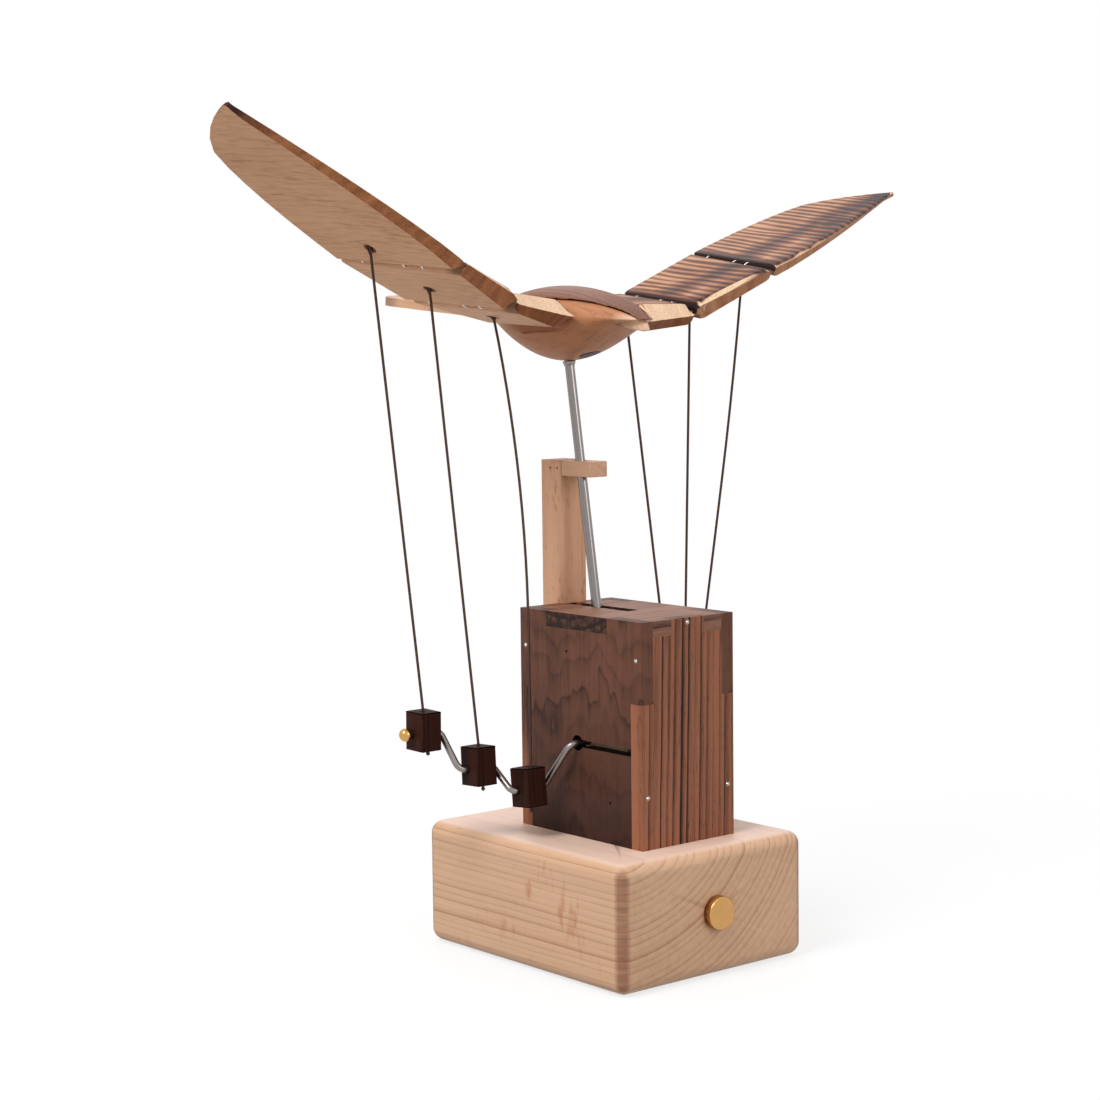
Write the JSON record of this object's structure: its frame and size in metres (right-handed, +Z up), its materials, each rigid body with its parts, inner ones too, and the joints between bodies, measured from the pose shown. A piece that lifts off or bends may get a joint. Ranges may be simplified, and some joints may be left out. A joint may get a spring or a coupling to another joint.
{
  "type": "flapping bird automaton",
  "caption": "Wooden automaton: a beech bird on a steel rod flaps jointed wings through spring wire pushrods from a bent crank in a walnut case.",
  "frame": {"origin": "centre of the underside of the plinth", "axes": "+Z up, the bird flies towards -Y, so the control knob is on the -Y face of the plinth and the tail points to +Y; +X is to the side of the wing named right"},
  "size_m": [0.3897, 0.2305, 0.3747],
  "materials": {
    "beech": "satin, light oiled",
    "wing_beech": "satin, edges and upper faces scorched",
    "walnut": "satin, oiled",
    "crown_walnut": "satin, oiled",
    "dark_wood": "satin",
    "brass": "brushed",
    "rod_steel": "drawn, bright",
    "wire_steel": "drawn",
    "spring_wire": "dark drawn",
    "dark_steel": "dark",
    "nail_steel": "bright heads",
    "screw_steel": "plain",
    "motor_steel": "plain",
    "black_plastic": "matte",
    "battery_sleeve": "gloss"
  },
  "bodies": {
    "base": {"plinth": "beech", "plinth_cover": "beech", "cover_screws": "screw_steel", "battery_holder": "black_plastic", "batteries": "battery_sleeve", "speed_control": "black_plastic", "case_nails": "nail_steel", "bearing_pins": "dark_steel", "case_screws": "screw_steel", "post_screws": "screw_steel", "bracket_screws": "screw_steel", "left_board": "walnut", "right_board": "walnut", "front_board": "walnut", "rear_board": "walnut", "top_board": "walnut", "left_bearing": "beech", "right_bearing": "beech", "arm_pins": "dark_steel", "guide_post": "beech", "guide_arm": "beech", "gear_motor": "motor_steel", "motor_bracket": "motor_steel"},
    "knob": {"control_knob": "brass", "control_shaft": "screw_steel"},
    "crank": {"crankshaft": "wire_steel", "crank_balls": "brass", "drive_gear": "brass"},
    "pinion": {"motor_pinion": "brass"},
    "bird": {"lift_block": "walnut", "lift_rod": "rod_steel", "rod_collar": "rod_steel", "bird_body": "beech", "bird_crown": "crown_walnut", "bird_tail": "wing_beech", "belly_plug": "dark_wood", "body_rings": "nail_steel"},
    "left_wing_inner": {"left_wing_root": "wing_beech", "left_mid_rings": "nail_steel"},
    "left_wing_middle": {"left_wing_mid": "wing_beech", "left_tip_rings": "nail_steel"},
    "left_wing_outer": {"left_wing_tip": "wing_beech"},
    "left_inner_block": {"left_inner_block": "walnut"},
    "left_inner_rod": {"left_pushrod_inner": "spring_wire"},
    "left_middle_block": {"left_middle_block": "walnut"},
    "left_middle_rod": {"left_pushrod_middle": "spring_wire"},
    "left_outer_block": {"left_outer_block": "walnut"},
    "left_outer_rod": {"left_pushrod_outer": "spring_wire"},
    "right_wing_inner": {"right_wing_root": "wing_beech", "right_mid_rings": "nail_steel"},
    "right_wing_middle": {"right_wing_mid": "wing_beech", "right_tip_rings": "nail_steel"},
    "right_wing_outer": {"right_wing_tip": "wing_beech"},
    "right_inner_block": {"right_inner_block": "walnut"},
    "right_inner_rod": {"right_pushrod_inner": "spring_wire"},
    "right_middle_block": {"right_middle_block": "walnut"},
    "right_middle_rod": {"right_pushrod_middle": "spring_wire"},
    "right_outer_block": {"right_outer_block": "walnut"},
    "right_outer_rod": {"right_pushrod_outer": "spring_wire"}
  },
  "joints": [
    {"name": "crank_spin", "type": "hinge", "parent": "base", "child": "crank", "pos_m": [0, -0.0085, 0.099], "axis": [1, 0, 0], "range_deg": [-20, 20]},
    {"name": "pinion_spin", "type": "hinge", "parent": "base", "child": "pinion", "pos_m": [0.009, -0.03363, 0.12008], "axis": [1, 0, 0], "range_deg": [-72.11, 72.11]},
    {"name": "knob_turn", "type": "hinge", "parent": "base", "child": "knob", "pos_m": [0, -0.06815, 0.0286], "axis": [0, 1, 0], "range_deg": [0, 270]},
    {"name": "centre_pin", "type": "hinge", "parent": "crank", "child": "bird", "pos_m": [0, -0.00156, 0.087], "axis": [1, 0, 0], "range_deg": [-18.91, 18.91]},
    {"name": "left_root_hinge", "type": "hinge", "parent": "bird", "child": "left_wing_inner", "pos_m": [-0.02, -0.00272, 0.28824], "axis": [0, 0.9993, 0.0375], "range_deg": [-8.85, 8.85]},
    {"name": "left_middle_hinge", "type": "hinge", "parent": "left_wing_inner", "child": "left_wing_middle", "pos_m": [-0.05316, -0.0014, 0.29431], "axis": [-0.1644, 0.9841, 0.0668], "range_deg": [-4.05, 4.05]},
    {"name": "left_tip_hinge", "type": "hinge", "parent": "left_wing_middle", "child": "left_wing_outer", "pos_m": [-0.09184, -0.01506, 0.30908], "axis": [-0.1964, 0.9773, 0.079], "range_deg": [-8.6, 8.6]},
    {"name": "left_inner_pin", "type": "hinge", "parent": "crank", "child": "left_inner_block", "pos_m": [-0.0448, 0.0065, 0.0783], "axis": [1, 0, 0], "range_deg": [-18.13, 18.13]},
    {"name": "left_inner_sway", "type": "hinge", "parent": "left_inner_block", "child": "left_inner_rod", "pos_m": [-0.0448, 0.0035, 0.0783], "axis": [0, 1, 0], "range_deg": [-0.43, 0.43]},
    {"name": "left_middle_pin", "type": "hinge", "parent": "crank", "child": "left_middle_block", "pos_m": [-0.0618, 0.0208, 0.0883], "axis": [1, 0, 0], "range_deg": [-18.94, 18.94]},
    {"name": "left_middle_sway", "type": "hinge", "parent": "left_middle_block", "child": "left_middle_rod", "pos_m": [-0.0618, 0.0178, 0.0883], "axis": [0, 1, 0], "range_deg": [-0.81, 0.81]},
    {"name": "left_outer_pin", "type": "hinge", "parent": "crank", "child": "left_outer_block", "pos_m": [-0.0834, 0.0325, 0.1052], "axis": [1, 0, 0], "range_deg": [-20.35, 20.35]},
    {"name": "left_outer_sway", "type": "hinge", "parent": "left_outer_block", "child": "left_outer_rod", "pos_m": [-0.0834, 0.0295, 0.1052], "axis": [0, 1, 0], "range_deg": [-1.44, 1.44]},
    {"name": "right_root_hinge", "type": "hinge", "parent": "bird", "child": "right_wing_inner", "pos_m": [0.02, -0.00254, 0.28595], "axis": [0, -0.9935, -0.1137], "range_deg": [-9.03, 9.03]},
    {"name": "right_middle_hinge", "type": "hinge", "parent": "right_wing_inner", "child": "right_wing_middle", "pos_m": [0.05361, -0.00129, 0.28858], "axis": [-0.1667, -0.9781, -0.1243], "range_deg": [-4.53, 4.53]},
    {"name": "right_tip_hinge", "type": "hinge", "parent": "right_wing_middle", "child": "right_wing_outer", "pos_m": [0.08989, -0.01613, 0.30766], "axis": [-0.1967, -0.9704, -0.1402], "range_deg": [-8.29, 8.29]},
    {"name": "right_inner_pin", "type": "hinge", "parent": "crank", "child": "right_inner_block", "pos_m": [0.0448, 0.0065, 0.0783], "axis": [1, 0, 0], "range_deg": [-18.06, 18.06]},
    {"name": "right_inner_sway", "type": "hinge", "parent": "right_inner_block", "child": "right_inner_rod", "pos_m": [0.0448, 0.0035, 0.0783], "axis": [0, 1, 0], "range_deg": [-0.46, 0.46]},
    {"name": "right_middle_pin", "type": "hinge", "parent": "crank", "child": "right_middle_block", "pos_m": [0.0618, 0.0208, 0.0883], "axis": [1, 0, 0], "range_deg": [-18.78, 18.78]},
    {"name": "right_middle_sway", "type": "hinge", "parent": "right_middle_block", "child": "right_middle_rod", "pos_m": [0.0618, 0.0178, 0.0883], "axis": [0, 1, 0], "range_deg": [-0.7, 0.7]},
    {"name": "right_outer_pin", "type": "hinge", "parent": "crank", "child": "right_outer_block", "pos_m": [0.0809, 0.0325, 0.1052], "axis": [1, 0, 0], "range_deg": [-20.08, 20.08]},
    {"name": "right_outer_sway", "type": "hinge", "parent": "right_outer_block", "child": "right_outer_rod", "pos_m": [0.0809, 0.0295, 0.1052], "axis": [0, 1, 0], "range_deg": [-1.19, 1.19]}
  ],
  "couplings": [
    {"joint": "pinion_spin", "follows": "crank_spin", "ratio": -3.5556},
    {"joint": "centre_pin", "follows": "crank_spin", "ratio": -0.92032},
    {"joint": "left_root_hinge", "follows": "crank_spin", "ratio": 0.41745},
    {"joint": "left_middle_hinge", "follows": "crank_spin", "ratio": -0.1774},
    {"joint": "left_tip_hinge", "follows": "crank_spin", "ratio": 0.4052},
    {"joint": "left_inner_pin", "follows": "crank_spin", "ratio": -0.88152},
    {"joint": "left_inner_sway", "follows": "crank_spin", "ratio": 0.00137},
    {"joint": "left_middle_pin", "follows": "crank_spin", "ratio": -0.92218},
    {"joint": "left_middle_sway", "follows": "crank_spin", "ratio": 0.02052},
    {"joint": "left_outer_pin", "follows": "crank_spin", "ratio": -0.99253},
    {"joint": "left_outer_sway", "follows": "crank_spin", "ratio": 0.0519},
    {"joint": "right_root_hinge", "follows": "crank_spin", "ratio": 0.42664},
    {"joint": "right_middle_hinge", "follows": "crank_spin", "ratio": -0.20155},
    {"joint": "right_tip_hinge", "follows": "crank_spin", "ratio": 0.38943},
    {"joint": "right_inner_pin", "follows": "crank_spin", "ratio": -0.87806},
    {"joint": "right_inner_sway", "follows": "crank_spin", "ratio": 0.0029},
    {"joint": "right_middle_pin", "follows": "crank_spin", "ratio": -0.91397},
    {"joint": "right_middle_sway", "follows": "crank_spin", "ratio": -0.01504},
    {"joint": "right_outer_pin", "follows": "crank_spin", "ratio": -0.9789},
    {"joint": "right_outer_sway", "follows": "crank_spin", "ratio": -0.03952}
  ]
}
